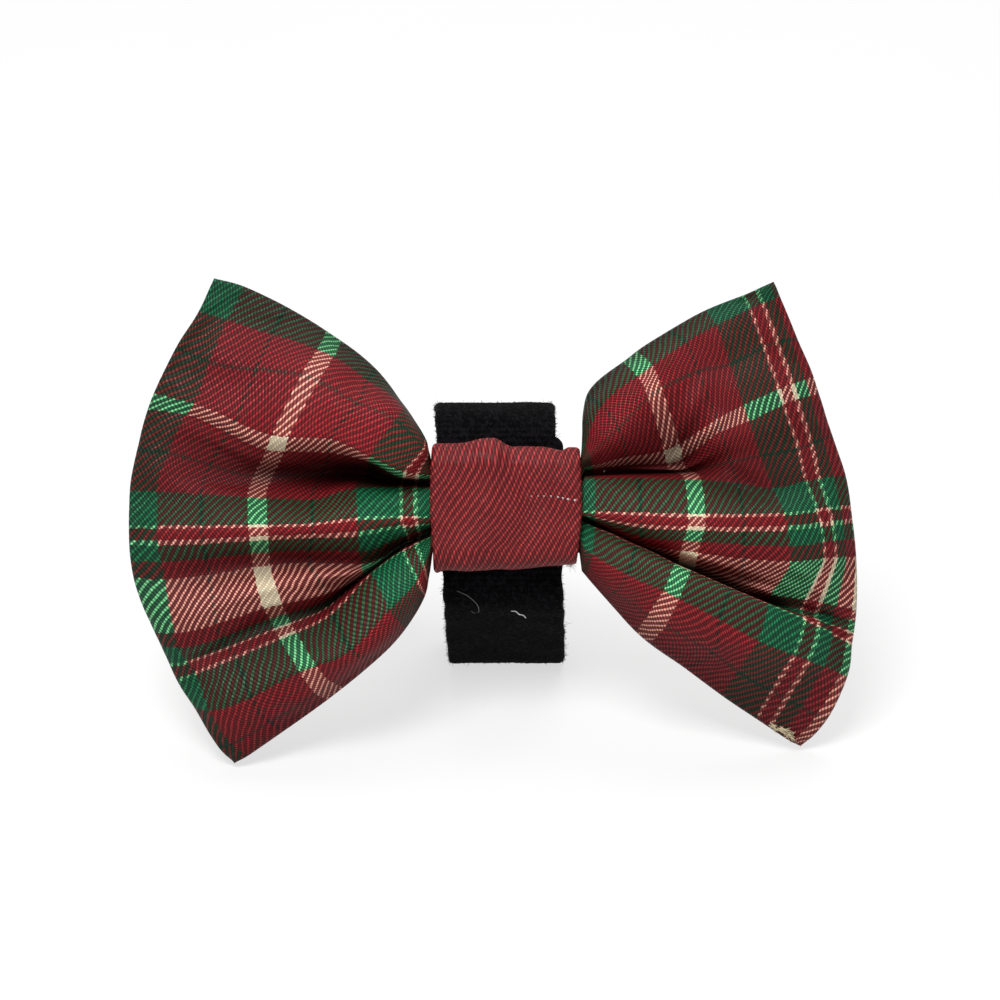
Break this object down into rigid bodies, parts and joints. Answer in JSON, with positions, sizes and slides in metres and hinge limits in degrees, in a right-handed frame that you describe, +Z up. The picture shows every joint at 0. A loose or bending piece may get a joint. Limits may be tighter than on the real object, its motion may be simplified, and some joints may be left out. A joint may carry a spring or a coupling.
{
  "type": "dog collar bow tie",
  "caption": "Slip-on cloth bow tie for a dog's collar: a plaid pillow bow pinched by a plain knot band, with a strap loop behind it for the collar.",
  "frame": {"origin": "middle of the footprint, on the surface that the tie stands on", "axes": "+Z up, -Y towards the viewer of the bow's front, +X to that viewer's right; the bow leans back 28 degrees"},
  "size_m": [0.1218, 0.0444, 0.0727],
  "materials": {
    "plaid_twill": "satin twill weave, plaid",
    "burgundy_twill": "matt twill weave",
    "black_strap": "brushed nap"
  },
  "bodies": {
    "root": {"bow": "plaid_twill", "knot_band": "burgundy_twill", "strap_loop": "black_strap", "strap_end": "black_strap"}
  },
  "joints": []
}
